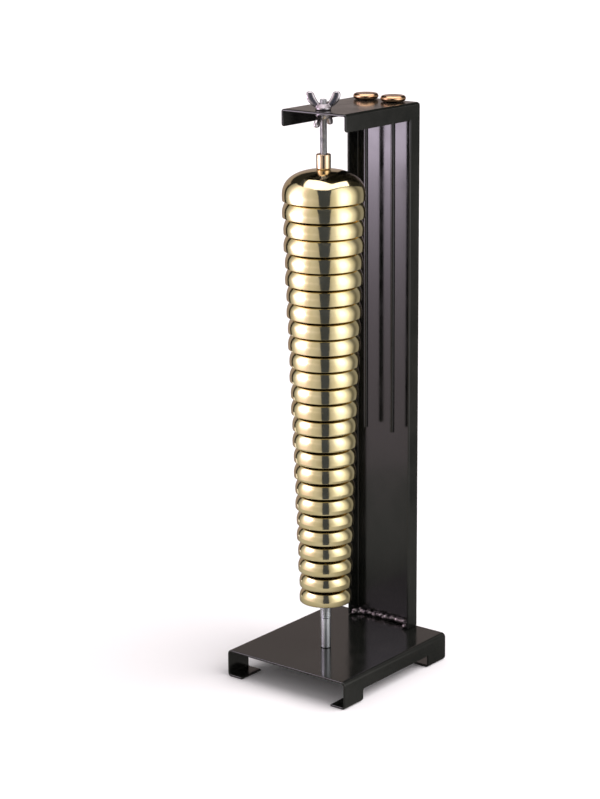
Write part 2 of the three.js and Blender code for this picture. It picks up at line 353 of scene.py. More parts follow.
def shade(piece: Piece, sharp_degrees: float) -> None:
    """Shade a piece smooth and keep its sharp edges crisp.

    Args:
        piece: The piece.
        sharp_degrees: Edges that turn by more than this stay crisp.
    """
    work = bmesh.new()
    work.from_mesh(piece.data)
    for face in work.faces:
        face.smooth = True
    limit = math.radians(sharp_degrees)
    for edge in work.edges:
        edge.smooth = len(edge.link_faces) == 2 and edge.calc_face_angle(0.0) < limit
    work.to_mesh(piece.data)
    work.free()


def break_edges(piece: Piece, width: float) -> None:
    """Round the sharp edges of a flat-faced body, as coating does.

    Args:
        piece: The body.
        width: Width of the rounding in millimetres.
    """
    # What a cut leaves nearer together, or flatter, than this is one point or one face
    same_point, same_plane = 0.002 * MM, math.radians(0.5)
    work = bmesh.new()
    work.from_mesh(piece.data)
    bmesh.ops.remove_doubles(work, verts=work.verts, dist=same_point)
    bmesh.ops.dissolve_limit(work, angle_limit=same_plane, verts=work.verts, edges=work.edges)
    work.to_mesh(piece.data)
    work.free()
    edge = piece.modifiers.new("edges", "BEVEL")
    edge.width = width * MM
    edge.segments = 4
    edge.use_clamp_overlap = False
    edge.limit_method = "ANGLE"
    edge.angle_limit = math.radians(40.0)
    bake_modifiers(piece)
    shade(piece, sharp_degrees=60.0)
    # The full weight of 100 keeps the flat faces flat beside their rounded edges
    piece.modifiers.new("normals", "WEIGHTED_NORMAL").weight = 100
    bake_modifiers(piece)


def fuse(piece: Piece, voxel: float, rounds: int) -> None:
    """Melt overlapping bodies into one skin, as in a casting or a weld.

    Args:
        piece: The bodies, as one object.
        voxel: Size of the new skin's faces in millimetres.
        rounds: How often the skin is smoothed, which softens its inner corners.
    """
    melt = piece.modifiers.new("melt", "REMESH")
    melt.mode = "VOXEL"
    melt.voxel_size = voxel * MM
    relax = piece.modifiers.new("relax", "SMOOTH")
    relax.factor = 0.5
    relax.iterations = rounds
    bake_modifiers(piece)


def gather(name: str, parts: Sequence[Piece]) -> Piece:
    """Put several bodies into one object.

    Args:
        name: The new object's name.
        parts: The bodies, which are then removed.

    Returns:
        The object, linked to the scene.
    """
    work = bmesh.new()
    for part in parts:
        work.from_mesh(part.data)
        bpy.data.objects.remove(part)
    return from_work(name, work)


def from_work(name: str, work: bmesh.types.BMesh) -> Piece:
    """Turn a working mesh into an object.

    Args:
        name: The object's name.
        work: The working mesh, which is then freed.

    Returns:
        The object, linked to the scene.
    """
    mesh = bpy.data.meshes.new(name)
    work.to_mesh(mesh)
    work.free()
    return link_object(name, mesh)


# Finishes


@dataclass(frozen=True)
class Finish:
    """A surface: what it is made of and how it was made."""

    name: str
    colour: str
    roughness: float
    metallic: float = 0.0
    # Lowest and highest roughness over the surface, as shares of the value above
    uneven: tuple[float, float] = (1.0, 1.0)

    def material(self) -> bpy.types.Material:
        """Build the material the first time, and give the same one after that.

        Returns:
            The material, under the finish's own name.
        """
        known = bpy.data.materials.get(self.name)
        if known:
            return known
        made = bpy.data.materials.new(self.name)
        tree = fresh_tree(made)
        shader = add_node(tree, "ShaderNodeBsdfPrincipled", inputs={
            "Base Color": linear(self.colour), "Roughness": self.roughness, "Metallic": self.metallic,
        })
        add_node(tree, "ShaderNodeOutputMaterial", inputs={"Surface": shader.outputs[0]})
        self.dress(tree, shader)
        return made

    def dress(self, tree: bpy.types.NodeTree, shader: bpy.types.Node) -> None:
        """Add the finish's own pattern nodes.

        Args:
            tree: The material's nodes.
            shader: The shader that the patterns drive.
        """

    def place(self, tree: bpy.types.NodeTree) -> bpy.types.NodeSocket:
        """The point on the object, in metres."""
        return add_node(tree, "ShaderNodeTexCoord").outputs["Object"]

    def mottle(self, tree: bpy.types.NodeTree, size: float, detail: float = 2.0,
               stretch: tuple[float, float, float] = (1.0, 1.0, 1.0)) -> bpy.types.NodeSocket:
        """A cloudy pattern from 0 to 1.

        Args:
            tree: The material's nodes.
            size: Distance between clouds in millimetres.
            detail: Octaves of finer clouds.
            stretch: Factors on the pattern's frequency along x, y and z.

        Returns:
            The pattern's value.
        """
        placed = add_node(tree, "ShaderNodeMapping", inputs={"Vector": self.place(tree), "Scale": stretch})
        return add_node(tree, "ShaderNodeTexNoise", inputs={
            "Vector": placed.outputs[0], "Scale": scale_for(size), "Detail": detail,
        }).outputs[0]

    def turning(self, tree: bpy.types.NodeTree, pitch: float, axis_y: float) -> bpy.types.NodeSocket:
        """Fine rings round a vertical axis, as a lathe tool or polishing cloth leaves them.

        Args:
            tree: The material's nodes.
            pitch: Distance between rings in millimetres.
            axis_y: Where the axis crosses the Y axis, in millimetres.

        Returns:
            The rings' height, from 0 to 1.
        """
        parts = add_node(tree, "ShaderNodeSeparateXYZ", inputs={0: self.place(tree)})
        beside = add_node(tree, "ShaderNodeMath", {"operation": "SUBTRACT"}, {
            0: parts.outputs[1], 1: axis_y * MM,
        })
        across = add_node(tree, "ShaderNodeCombineXYZ", inputs={0: parts.outputs[0], 1: beside.outputs[0]})
        radius = add_node(tree, "ShaderNodeVectorMath", {"operation": "LENGTH"}, {0: across.outputs[0]})
        flat = add_node(tree, "ShaderNodeCombineXYZ", inputs={
            0: radius.outputs["Value"], 2: parts.outputs[2],
        })
        return add_node(tree, "ShaderNodeTexNoise", inputs={
            "Vector": flat.outputs[0], "Scale": scale_for(pitch), "Detail": 2.0,
        }).outputs[0]

    def gloss(self, tree: bpy.types.NodeTree, shader: bpy.types.Node, pattern: bpy.types.NodeSocket) -> None:
        """Let a pattern make the roughness uneven.

        Args:
            tree: The material's nodes.
            shader: The shader whose roughness is driven.
            pattern: The pattern, from 0 to 1.
        """
        low, high = (self.roughness * share for share in self.uneven)
        spread = add_node(tree, "ShaderNodeMapRange", inputs={
            "Value": pattern, "From Min": GLOSS_RANGE[0], "From Max": GLOSS_RANGE[1],
            "To Min": low, "To Max": high,
        })
        tree.links.new(spread.outputs[0], shader.inputs["Roughness"])

    def tint(self, tree: bpy.types.NodeTree, shader: bpy.types.Node,
             pattern: bpy.types.NodeSocket, other: str) -> None:
        """Let a pattern carry the base colour over to another colour.

        Args:
            tree: The material's nodes.
            shader: The shader whose colour is driven.
            pattern: The pattern, from 0 to 1.
            other: The other colour, as an sRGB hex value.
        """
        spread = add_node(tree, "ShaderNodeMapRange", inputs={
            "Value": pattern, "From Min": TINT_RANGE[0], "From Max": TINT_RANGE[1],
        })
        mixed = add_node(tree, "ShaderNodeMix", {"data_type": "RGBA"}, {
            0: spread.outputs[0], 6: linear(self.colour), 7: linear(other),
        })
        tree.links.new(mixed.outputs[2], shader.inputs["Base Color"])

    def relief(self, tree: bpy.types.NodeTree, shader: bpy.types.Node,
               layers: Sequence[tuple[bpy.types.NodeSocket, float]]) -> None:
        """Raise the surface by patterns.

        Args:
            tree: The material's nodes.
            shader: The shader whose normal is bent.
            layers: Pairs of pattern and height in millimetres.
        """
        below = None
        for pattern, height in layers:
            inputs = {"Height": pattern, "Distance": height * MM, "Strength": 1.0}
            if below is not None:
                inputs["Normal"] = below
            below = add_node(tree, "ShaderNodeBump", inputs=inputs).outputs[0]
        tree.links.new(below, shader.inputs["Normal"])


@dataclass(frozen=True)
class StovedEnamel(Finish):
    """Gloss enamel sprayed on steel sheet and stoved: almost a black mirror, with a faint orange peel."""

    dust: str = "#1A1A18"
    ior: float = 1.52
    cloud: float = 22.0
    peel: float = 2.6
    peel_height: float = 0.0012
    uneven: tuple[float, float] = (0.7, 1.4)

    def dress(self, tree: bpy.types.NodeTree, shader: bpy.types.Node) -> None:
        """Add a thin film of dust, cloudy gloss and the orange peel.

        Args:
            tree: The material's nodes.
            shader: The shader that the patterns drive.
        """
        shader.inputs["IOR"].default_value = self.ior
        clouds = self.mottle(tree, self.cloud, detail=3.0)
        self.tint(tree, shader, clouds, self.dust)
        self.gloss(tree, shader, clouds)
        self.relief(tree, shader, [(self.mottle(tree, self.peel, detail=1.0), self.peel_height)])


@dataclass(frozen=True)
class TurnedMetal(Finish):
    """Metal that was turned and polished about the spindle: soft clouds of haze and fine rings."""

    tarnish: str = "#D9BE7C"
    cloud: float = 16.0
    pitch: float = 0.5
    groove: float = 0.0004
    axis_y: float = -17.0
    uneven: tuple[float, float] = (0.75, 1.35)

    def dress(self, tree: bpy.types.NodeTree, shader: bpy.types.Node) -> None:
        """Add haze, a slight change of colour, and rings drawn wide enough to show.

        Args:
            tree: The material's nodes.
            shader: The shader that the patterns drive.
        """
        clouds = self.mottle(tree, self.cloud, detail=4.0)
        self.tint(tree, shader, clouds, self.tarnish)
        self.gloss(tree, shader, self.mottle(tree, self.cloud / 3, detail=3.0))
        self.relief(tree, shader, [(self.turning(tree, self.pitch, self.axis_y), self.groove)])


@dataclass(frozen=True)
class PlatedMetal(Finish):
    """Electroplated steel or casting: bright, with a fine grain under the plating."""

    stain: str = "#A9A9AE"
    grain: float = 0.9
    depth: float = 0.0015
    stretch: tuple[float, float, float] = (1.0, 1.0, 1.0)
    # How many grains wide a stain is
    stain_width: float = 7.0
    uneven: tuple[float, float] = (0.8, 1.3)

    def dress(self, tree: bpy.types.NodeTree, shader: bpy.types.Node) -> None:
        """Add stains, uneven gloss and the grain.

        Args:
            tree: The material's nodes.
            shader: The shader that the patterns drive.
        """
        stains = self.mottle(tree, self.grain * self.stain_width, detail=3.0, stretch=self.stretch)
        self.tint(tree, shader, stains, self.stain)
        self.gloss(tree, shader, stains)
        self.relief(tree, shader, [(self.mottle(tree, self.grain, stretch=self.stretch), self.depth)])


@dataclass(frozen=True)
class TurnedPlating(PlatedMetal):
    """Plating over a turned bar: the tool's rings draw each reflection out along the bar."""

    draw: float = 0.8
    # A quarter of a turn lays the sheen across the tool's rings
    draw_turn: float = 0.25

    def dress(self, tree: bpy.types.NodeTree, shader: bpy.types.Node) -> None:
        """Add the plating's pattern and turn the drawn-out sheen along the bar.

        Args:
            tree: The material's nodes.
            shader: The shader that the patterns drive.
        """
        super().dress(tree, shader)
        shader.inputs["Anisotropic"].default_value = self.draw
        shader.inputs["Anisotropic Rotation"].default_value = self.draw_turn
        rings = add_node(tree, "ShaderNodeTangent", {"direction_type": "RADIAL", "axis": "Z"})
        tree.links.new(rings.outputs[0], shader.inputs["Tangent"])


@dataclass(frozen=True)
class MouldedPlastic(Finish):
    """Injection moulded plastic: even colour with a fine spark texture."""

    shade_to: str = "#4B4946"
    cloud: float = 9.0
    spark: float = 0.5
    spark_height: float = 0.006

    def dress(self, tree: bpy.types.NodeTree, shader: bpy.types.Node) -> None:
        """Add a slight change of shade and the spark texture.

        Args:
            tree: The material's nodes.
            shader: The shader that the patterns drive.
        """
        self.tint(tree, shader, self.mottle(tree, self.cloud), self.shade_to)
        self.relief(tree, shader, [(self.mottle(tree, self.spark), self.spark_height)])


# Black gloss enamel mirrors the studio, so the sheet reads by its reflections.
BLACK_ENAMEL = StovedEnamel("stoved_black_enamel", "#141513", 0.15)
# Polished bell brass is pale gold with sharp reflections.
BELL_BRASS = TurnedMetal("polished_bell_brass", "#EEDFB3", 0.1, 1.0, tarnish="#E5D4A3")
# The inside of a cup isn't polished: dark brown, scaled and dull; its darkness is painted shade.
# It darkens the gaps between the nested bells and the undersides of the rims, where shade falls.
SCALED_AND_SHADED_BRASS = TurnedMetal(
    "scaled_brass_inside_painted_shade", "#2A2114", 0.6, 0.3, tarnish="#17110A", cloud=7.0, groove=0.01)
# Red brass of the collar nut is pinker than the bells.
RED_BRASS = TurnedMetal("turned_red_brass", "#D9BE9E", 0.16, 1.0, tarnish="#D0B596", cloud=6.0)
# Striker heads are lacquered brass, a deeper gold, turned about an axis of their own.
HEAD_BRASS = TurnedMetal(
    "lacquered_yellow_brass", "#DEB48F", 0.18, 1.0, tarnish="#D0A47C", cloud=6.0, axis_y=61.5)
# Bright zinc plate is cool grey; the post and the foot nut were turned before plating.
TURNED_ZINC = TurnedPlating("zinc_plated_bar", "#DDE1E6", 0.34, 1.0, stain="#D0D4DA")
# The same plate on a rolled thread is duller, since its flanks scatter the light.
THREAD_ZINC = PlatedMetal("zinc_plated_thread", "#A9A9AB", 0.4, 1.0, stain="#86878B")
# Bright nickel over a die casting: softly mirroring, slightly warm, faintly uneven.
CAST_NICKEL = PlatedMetal(
    "nickel_plated_casting", "#BBB5B9", 0.25, 1.0, stain="#A7A0A5", grain=2.4, depth=0.006)
# The enamel runs off the weld's ripples and leaves them thinly coated, so their ridges glint. The
# ripples are drawn coarse enough to show.
WELD_COAT = PlatedMetal(
    "thinly_coated_weld", "#A0969A", 0.13, 0.9, stain="#2C282A", grain=0.8, depth=0.24)
# Black oxide on drawn rod: deep black with a soft line of light.
BLACK_ROD = PlatedMetal("black_oxide_rod", "#161616", 0.22, 0.0, stain="#1F1E1E", stretch=(1.0, 1.0, 0.1))
# Moulded grey nylon is even and dull.
GREY_NYLON = MouldedPlastic("moulded_grey_nylon", "#55534F", 0.55)


def dress_piece(piece: Piece, body: str, slot: str, finishes: Sequence[Finish], *nodes: str) -> Piece:
    """Finish a piece and tie it to the CAD model.

    Args:
        piece: The piece, in place.
        body: The CAD body that it moves with.
        slot: The record's material slot; not used.
        finishes: Its finishes, in the order of its faces' material numbers.
        nodes: The CAD nodes that it stands for.

    Returns:
        The same piece.
    """
    piece.data.materials.clear()
    for finish in finishes:
        piece.data.materials.append(finish.material())
    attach(piece, body)
    if nodes:
        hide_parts(*nodes)
    return piece


# Sub-assemblies


@dataclass
class FoldedBase:
    """Steel sheet folded down at its left and right edges, with a lip turned in under each foot."""

    sheet: float = 2.0
    fold_radius: float = 4.0
    foot_fold_radius: float = 3.2
    foot_length: float = 27.0
    lip_width: float = 16.0
    arch_height: float = 11.0
    arch_corner: float = 1.6
    coat: float = 0.95
    overrun: float = 5.0

    def section(self) -> Outline:
        """The folded sheet seen from the front.

        Returns:
            The section's outline.
        """
        high = cad_box("base_tray")[1]
        half = high.x
        inner = half - self.sheet
        edge = half - self.lip_width
        top = high.z
        fold, foot = self.fold_radius, self.foot_fold_radius
        left = [[-half, top, fold], [-half, 0, foot], [-edge, 0, 0], [-edge, self.sheet, 0],
                [-inner, self.sheet, foot - self.sheet], [-inner, top - self.sheet, fold - self.sheet]]
        right = [[-x, z, radius] for x, z, radius in reversed(left)]
        return fillet_outline(left + right, FOLD_STEPS)

    def build(self) -> Iterator[Piece]:
        """Make the sheet with its arches and feet.

        Returns:
            The finished sheet.
        """
        low, high = cad_box("base_tray")
        tray = prism("base_folded_sheet", self.section(), Axis.Y, low.y, high.y)
        arch = high.y - self.foot_length
        corner = self.arch_corner
        opening = fillet_outline([
            [-arch, -self.overrun, 0], [-arch, self.arch_height, corner],
            [arch, self.arch_height, corner], [arch, -self.overrun, 0],
        ])
        side = high.x + self.overrun
        combine(tray, prism("arch", opening, Axis.X, -side, side), Join.CUT)
        break_edges(tray, self.coat)
        yield dress_piece(tray, "stand", "black_enamel", [BLACK_ENAMEL], "base_tray")


@dataclass
class ChannelUpright:
    """One channel section: the column, bent forward at the top into the arm."""

    sheet: float = 2.0
    depth: float = 15.0
    fold_radius: float = 2.6
    top_bend_radius: float = 4.5
    arm_corner: float = 3.0
    spindle_hole: float = 3.5
    striker_hole: float = 2.75
    coat: float = 0.95
    overrun: float = 5.0

    def envelope(self, low: Vector, high: Vector) -> Piece:
        """The solid L that the channel is hollowed from, rounded at its folds.

        Args:
            low: The channel's lowest corner, in millimetres.
            high: Its highest corner.

        Returns:
            The solid.
        """
        front_face = high.y - self.depth
        under = high.z - self.depth
        side_view = fillet_outline([
            [high.y, low.z, 0], [high.y, high.z, self.top_bend_radius], [low.y, high.z, 0],
            [low.y, under, self.arm_corner], [front_face, under, 0], [front_face, low.z, 0],
        ], FOLD_STEPS)
        body = prism("channel_upright", side_view, Axis.X, low.x, high.x)
        reach, radius = self.overrun, self.fold_radius
        plan = fillet_outline([
            [low.x, low.y - reach, 0], [high.x, low.y - reach, 0],
            [high.x, high.y, radius], [low.x, high.y, radius],
        ], FOLD_STEPS)
        combine(body, prism("plan", plan, Axis.Z, low.z - reach, high.z + reach), Join.KEEP_COMMON)
        front = fillet_outline([
            [low.x, low.z - reach, 0], [high.x, low.z - reach, 0],
            [high.x, high.z, radius], [low.x, high.z, radius],
        ], FOLD_STEPS)
        combine(body, prism("front", front, Axis.Y, low.y - reach, high.y + reach), Join.KEEP_COMMON)
        return body

    def build(self) -> Iterator[Piece]:
        """Make the channel with its spindle hole and the two striker holes.

        Returns:
            The finished channel.
        """
        low, high = cad_box("upright_channel")
        body = self.envelope(low, high)
        reach, sheet = self.overrun, self.sheet
        hollow = fillet_outline([
            [high.y - sheet, low.z - reach, 0],
            [high.y - sheet, high.z - sheet, self.top_bend_radius - sheet],
            [low.y - reach, high.z - sheet, 0],
            [low.y - reach, low.z - reach, 0],
        ], FOLD_STEPS)
        combine(body, prism("hollow", hollow, Axis.X, low.x + sheet, high.x - sheet), Join.CUT)
        holes = [(spindle_axis(), self.spindle_hole)]
        holes += [(box_axis(f"striker_rod_{side}"), self.striker_hole) for side in ("left", "right")]
        for centre, radius in holes:
            drill = [(0.0, high.z - 2 * reach), (radius, high.z - 2 * reach),
                     (radius, high.z + reach), (0.0, high.z + reach)]
            combine(body, turned("drill", drill, centre, segments=32), Join.CUT)
        break_edges(body, self.coat)
        yield dress_piece(body, "stand", "black_enamel", [BLACK_ENAMEL], "upright_channel")


def box_axis(node: str) -> tuple[float, float]:
    """x and y of the middle of a CAD node, in millimetres."""
    low, high = cad_box(node)
    return ((low.x + high.x) / 2, (low.y + high.y) / 2)


def spindle_axis() -> tuple[float, float]:
    """x and y of the spindle, in millimetres."""
    return box_axis("spindle_rod")


@dataclass
class WeldSeam:
    """A hand-laid weld inside the column's foot, coated over with the stand."""

    bead: float = 2.3
    step: float = 1.5
    sway: float = 1.6
    swell: float = 1.3
    # Frequencies of the noise that moves and swells the drops, per millimetre
    sway_rate: float = 0.9
    swell_rate: float = 0.7
    swell_offset: float = 9.0
    # A drop's size as a share of the bead, before its swelling and with the least and the most
    plain_size: float = 0.95
    least_swell: float = -0.4
    most_swell: float = 0.3
    flatten: tuple[float, float, float] = (1.15, 1.15, 0.95)
    voxel: float = 0.26
    # Blender's noise vectors follow the clock unless they are seeded
    seed: int = 4

    def route(self) -> list[Vector]:
        """Points along the seam: up one flange, across the web and forward along the other.

        Returns:
            The points, in millimetres.
        """
        low, high = cad_box("weld_bead")
        rise = low.z + self.bead
        left, right = low.x + self.bead, high.x - self.bead
        rear, front = high.y - self.bead, low.y + self.bead
        corners = [Vector((left, front, rise)), Vector((left, rear, rise)),
                   Vector((right, rear, rise)), Vector((right, front, rise))]
        points = []
        for start, end in zip(corners, corners[1:]):
            count = max(1, round((end - start).length / self.step))
            points += [start.lerp(end, k / count) for k in range(count)]
        return [*points, corners[-1]]

    def build(self) -> Iterator[Piece]:
        """Lay overlapping drops of weld and melt them into one bead.

        Returns:
            The finished seam.
        """
        noise.seed_set(self.seed)
        work = bmesh.new()
        for place in self.route():
            drift = noise.noise_vector(place * self.sway_rate) * self.sway
            # No drop drifts out behind the column
            drift.y = min(drift.y, 0.0)
            ripple = self.swell * noise.noise(place * self.swell_rate + Vector((self.swell_offset, 0.0, 0.0)))
            size = self.bead * (self.plain_size + max(self.least_swell, min(self.most_swell, ripple)))
            drop = bmesh.ops.create_icosphere(work, subdivisions=2, radius=size * MM)["verts"]
            bmesh.ops.scale(work, vec=self.flatten, verts=drop)
            bmesh.ops.translate(work, vec=(place + drift) * MM, verts=drop)
        seam = from_work("weld_seam", work)
        fuse(seam, self.voxel, rounds=0)
        shade(seam, sharp_degrees=80.0)
        yield dress_piece(seam, "stand", "black_enamel", [WELD_COAT], "weld_bead")


@dataclass
class BellStack:
    """26 cup bells in equal pairs, each nested in the one above."""

    count: int = 26
    wall: float = 1.4
    crown_wall: float = 1.8
    skirt: float = 3.5
    rim_tuck: float = 0.15
    rim_round: float = 0.3
    dome_power: float = 2.42
    shoulder_power: float = 2.08
    crown_flat: float = 6.9
    bore: float = 4.7
    rim_bevel: float = 0.2
    shoulder_steps: int = 22
    shoulder_end: float = 78.0
    segments: int = 112
    # The lean of a bell in degrees, and by how many radians its way and its amount go on at each bell
    lean: float = 0.22
    way_step: float = 2.4
    lean_step: float = 1.7

    def cup(self, widest: float, reach: float, angle: float, power: float) -> tuple[float, float]:
        """A point of the cup's outline.

        Args:
            widest: Radius of the widest ring.
            reach: From the widest ring to the crown.
            angle: Degrees above the widest ring.
            power: How square the shoulder is; 2 is an ellipse.

        Returns:
            The point's radius and height.
        """
        along, bend = math.radians(angle), 2 / power
        return (widest * math.cos(along) ** bend, self.skirt + reach * math.sin(along) ** bend)

    def profile(self, radius: float, height: float, power: float) -> tuple[Outline, int]:
        """The bell's section from crown to rim and back inside.

        Args:
            radius: Widest outside radius.
            height: From rim to crown.
            power: How square its shoulder is; 2 is an ellipse.

        Returns:
            The outline, and how many of its points start a polished face.
        """
        steps, last = self.shoulder_steps, self.shoulder_end
        angles = [last * (1 - k / steps) for k in range(steps + 1)]
        outside = [(self.bore, height), (self.crown_flat, height)]
        outside += [self.cup(radius, height - self.skirt, angle, power) for angle in angles]
        rim, curve = radius - self.rim_tuck, self.rim_round
        outside += [(radius - self.rim_tuck / 2, self.skirt / 2), (rim, curve)]
        outside += [(rim - curve * (1 - math.cos(turn)), curve * (1 - math.sin(turn)))
                    for turn in (math.radians(a) for a in (30, 60, 90))]
        inner, ceiling = radius - self.wall, height - self.crown_wall
        inside = [(inner + self.rim_bevel, 0.0), (inner, self.rim_bevel)]
        inside += [self.cup(inner, ceiling - self.skirt, angle, power) for angle in reversed(angles)]
        inside += [(self.crown_flat, ceiling), (self.bore, ceiling)]
        return outside + inside, len(outside) - 2

    def build(self) -> Iterator[Piece]:
        """Turn every bell, polished outside, and scaled inside with its dark colour painted as shade.

        Returns:
            The finished bells, from the top.
        """
        centre = spindle_axis()
        for index in range(self.count):
            node = f"bell_{index + 1:02d}"
            low, high = cad_box(node)
            radius = (high.x - low.x) / 2
            power = self.shoulder_power if index else self.dome_power
            profile, outer = self.profile(radius, high.z - low.z, power)
            bell = turned(f"cup_{node}", [(r, z + low.z) for r, z in profile], centre, self.segments)
            # Faces inside the cup and under the rim get the scaled brass, painted dark as shade
            per_ring = len(bell.data.polygons) // len(profile)
            for face in bell.data.polygons:
                face.material_index = 0 if face.index < per_ring * outer else 1
            self.tilt(bell, index, Vector((*centre, low.z)))
            shade(bell, sharp_degrees=34.0)
            yield dress_piece(bell, "stand", "polished_brass", [BELL_BRASS, SCALED_AND_SHADED_BRASS], node)

    def tilt(self, bell: Piece, index: int, foot: Vector) -> None:
        """Hang a bell a touch out of true, since none sits quite square on its spacer.

        Args:
            bell: The bell.
            index: Its number from the top.
            foot: The middle of its rim, in millimetres.
        """
        way = Vector((math.cos(index * self.way_step), math.sin(index * self.way_step), 0.0))
        turn = Matrix.Rotation(math.radians(self.lean) * math.sin(index * self.lean_step), 4, way)
        pivot = Matrix.Translation(foot * MM)
        bell.data.transform(pivot @ turn @ pivot.inverted())


@dataclass
class SpindleSet:
    """The threaded spindle and what is turned to fit on it."""

    thread_pitch: float = 1.0
    thread_depth: float = 0.26
    thread_from: float = 449.0
    # How far below the thread the rod's last two plain rings are
    plain_rings: tuple[float, float] = (0.8, 0.2)
    # Over 1, the thread's crests are wider than its roots
    thread_power: float = 1.3
    row: float = 0.125
    segments: int = 40
    end_bevel: float = 0.6
    end_inset: float = 0.75
    # Shallow grooves round a nut, and the rounding of its hole's edges
    groove: float = 0.16
    groove_half: float = 0.22
    bore_round: float = 0.25
    nut_segments: int = 72
    # The nylon spacers
    sleeve_radius: float = 4.4
    spacer_gap: float = 0.3
    last_spacer: float = 5.0
    # The screw under the base
    shank: float = 3.0
    head_height: float = 3.2
    head_dome: float = 1.3
    dome_power: float = 0.8
    socket_radius: float = 2.3
    socket_depth: float = 1.9

    def thread(self, z: float, angle: float) -> float:
        """Depth of the thread at a height on the rod and an angle round it."""
        wave = (1 + math.cos(math.tau * z / self.thread_pitch - angle)) / 2
        return self.thread_depth * wave ** self.thread_power

    def rod(self) -> Piece:
        """A rod whose upper length carries a real helical thread.

        Returns:
            The rod.
        """
        low, high = cad_box("spindle_rod")
        x0, y0 = spindle_axis()
        crest = (high.x - low.x) / 2
        start, end, ring = self.thread_from, high.z, self.segments
        rows = round((end - self.end_bevel - start) / self.row)
        plain = [low.z, *(start - below for below in self.plain_rings)]
        heights = [*plain, *(start + k * self.row for k in range(rows + 1)), end]
        last = len(heights) - 1
        points = [(x0, y0, low.z)]
        for place, z in enumerate(heights):
            for k in range(ring):
                angle = math.tau * k / ring
                radius = crest
                if place == last:
                    radius -= self.end_inset
                elif place >= len(plain):
                    radius -= self.thread(z, angle)
                points.append((x0 + radius * math.cos(angle), y0 + radius * math.sin(angle), z))
        points.append((x0, y0, high.z))
        faces = []
        for k in range(ring):
            after = (k + 1) % ring
            faces.append((0, 1 + after, 1 + k))
            for place in range(last):
                base = 1 + place * ring
                faces.append((base + k, base + after, base + ring + after, base + ring + k))
            top = 1 + last * ring
            faces.append((top + k, top + after, len(points) - 1))
        rod = make_piece("threaded_spindle", points, faces)
        shade(rod, sharp_degrees=50.0)
        return rod

    def nut(self, name: str, node: str, chamfer: float, grooves: int) -> Piece:
        """A round nut with rounded chamfers and shallow grooves round it.

        Args:
            name: The piece's name.
            node: The CAD node that gives its place and size.
            chamfer: Width of the rounding at both ends.
            grooves: How many shallow grooves go round the outside.

        Returns:
            The nut.
        """
        low, high = cad_box(node)
        radius = (high.x - low.x) / 2
        bore, edge = SPINDLE_BORE, self.bore_round
        curve = fillet_outline([
            [bore, low.z, edge], [radius, low.z, chamfer], [radius, high.z, chamfer], [bore, high.z, edge],
        ], steps=5)
        middle, outermost = (low.z + high.z) / 2, radius - 1e-3
        split = next(i for i, (r, z) in enumerate(curve) if r > outermost and z > middle)
        cuts = []
        half = self.groove_half
        for k in range(grooves):
            z = low.z + (high.z - low.z) * (k + 1) / (grooves + 1)
            cuts += [(radius, z - half), (radius - self.groove, z), (radius, z + half)]
        nut = turned(name, curve[:split] + cuts + curve[split:], spindle_axis(), self.nut_segments)
        shade(nut, sharp_degrees=50.0)
        return nut

    def spacers(self) -> Piece:
        """The nylon sleeve with a collar under every crown.

        Returns:
            The sleeve.
        """
        low, high = cad_box("spacer_sleeve")
        bore, thin, wide = SPINDLE_BORE, self.sleeve_radius, (high.x - low.x) / 2
        gap = bevel = self.spacer_gap
        outline = [(bore, low.z), (thin, low.z)]
        for index in range(BellStack.count - 1, -1, -1):
            top = cad_box(f"bell_{index + 1:02d}")[1].z - BellStack.crown_wall - gap
            last = index + 1 == BellStack.count
            foot = top - self.last_spacer if last else cad_box(f"bell_{index + 2:02d}")[1].z + gap
            outline += [(thin, foot), (wide - bevel, foot), (wide, foot + bevel), (wide, top - bevel),
                        (wide - bevel, top), (thin, top)]
        outline += [(thin, high.z), (bore, high.z)]
        sleeve = turned("nylon_spacers", outline, spindle_axis(), segments=40)
        shade(sleeve, sharp_degrees=40.0)
        return sleeve

    def screw(self) -> Piece:
        """The domed screw under the base, with its hexagon socket.

        Returns:
            The screw.
        """
        low, high = cad_box("base_screw")
        head, shank, top = (high.x - low.x) / 2, self.shank, low.z + self.head_height
        profile = [(0.0, low.z)]
        for angle in (math.radians(a) for a in (30, 45, 60, 75, 90)):
            drop = self.head_dome * (1 - math.cos(angle))
            profile.append((head * math.sin(angle) ** self.dome_power, low.z + drop))
        bevel = self.end_bevel
        profile += [(head, top), (shank, top), (shank, high.z - bevel)]
        profile += [(shank - bevel, high.z), (0.0, high.z)]
        screw = turned("base_screw_domed", profile, spindle_axis(), segments=48)
        x0, y0 = spindle_axis()
        wide = self.socket_radius
        socket = [(x0 + wide * math.cos(turn), y0 + wide * math.sin(turn))
                  for turn in (math.tau * k / 6 for k in range(6))]
        combine(screw, prism("socket", socket, Axis.Z, low.z - 1, low.z + self.socket_depth), Join.CUT)
        shade(screw, sharp_degrees=40.0)
        return screw

    def build(self) -> Iterator[Piece]:
        """Make the rod, its nuts, the post, the spacers and the screw.

        Returns:
            The finished pieces.
        """
        yield dress_piece(self.rod(), "stand", "bright_zinc", [THREAD_ZINC], "spindle_rod")
        post = self.nut("zinc_post", "base_post", chamfer=0.5, grooves=0)
        yield dress_piece(post, "stand", "bright_zinc", [TURNED_ZINC], "base_post")
        foot = self.nut("foot_nut_grooved", "foot_nut", chamfer=0.7, grooves=6)
        yield dress_piece(foot, "stand", "bright_zinc", [TURNED_ZINC], "foot_nut")
        collar = self.nut("collar_nut_turned", "collar_nut", chamfer=0.9, grooves=0)
        yield dress_piece(collar, "collar_nut", "turned_brass", [RED_BRASS], "collar_nut")
        yield dress_piece(self.spacers(), "stand", "grey_nylon", [GREY_NYLON], "spacer_sleeve")
        yield dress_piece(self.screw(), "stand", "black_oxide_steel", [BLACK_ROD], "base_screw")


